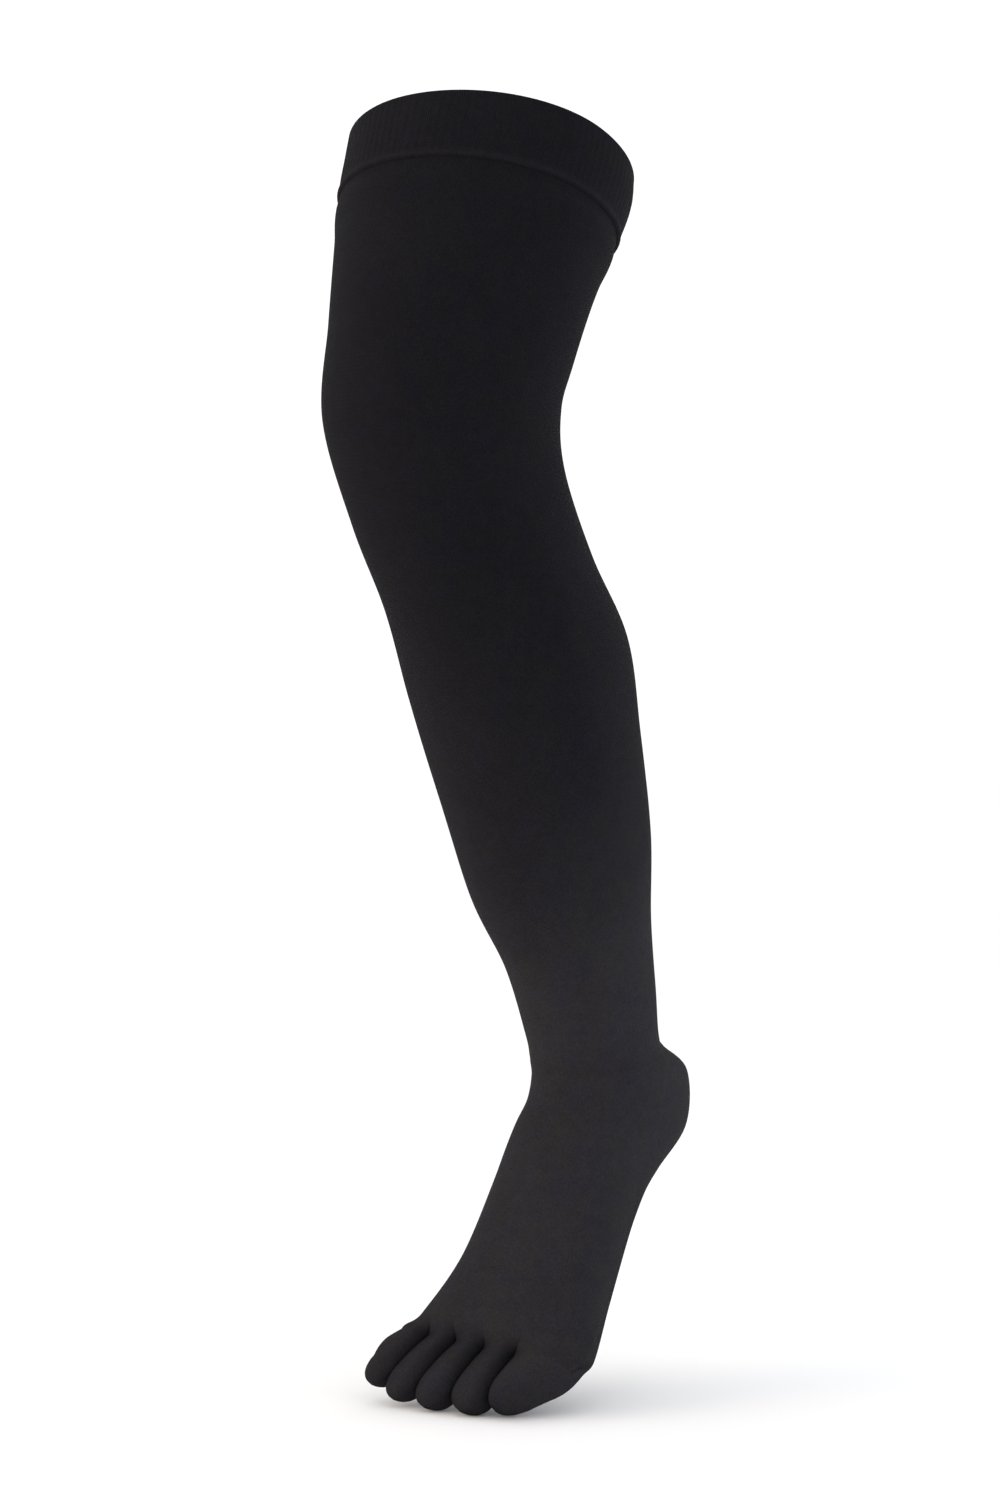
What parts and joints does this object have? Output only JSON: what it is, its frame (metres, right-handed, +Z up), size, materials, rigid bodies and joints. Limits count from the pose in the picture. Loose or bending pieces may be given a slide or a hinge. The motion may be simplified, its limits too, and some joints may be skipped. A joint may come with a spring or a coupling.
{
  "type": "over-knee toe sock",
  "caption": "Black over-the-knee knitted toe sock with a ribbed cuff, a turned heel and a separate pocket for each toe, in its worn form.",
  "frame": {"origin": "centre of the leg opening, in the plane of the cuff's rim", "axes": "+Z up out of the leg opening, -Y to the front of the leg and the toes, +X to the big-toe side"},
  "size_m": [0.1527, 0.274, 0.6876],
  "materials": {
    "rib_knit": "matte black ribbed elastic knit",
    "plain_knit": "matte black jersey knit with a soft fuzz",
    "heel_knit": "matte black jersey knit, stretched",
    "foot_knit": "matte black jersey knit, stretched",
    "toe_knit": "matte black jersey knit, close-knitted"
  },
  "bodies": {
    "root": {"cuff": "rib_knit", "leg": "plain_knit", "heel": "heel_knit", "foot": "foot_knit", "toe_1": "toe_knit", "toe_2": "toe_knit", "toe_3": "toe_knit", "toe_4": "toe_knit", "toe_5": "toe_knit"}
  },
  "joints": []
}
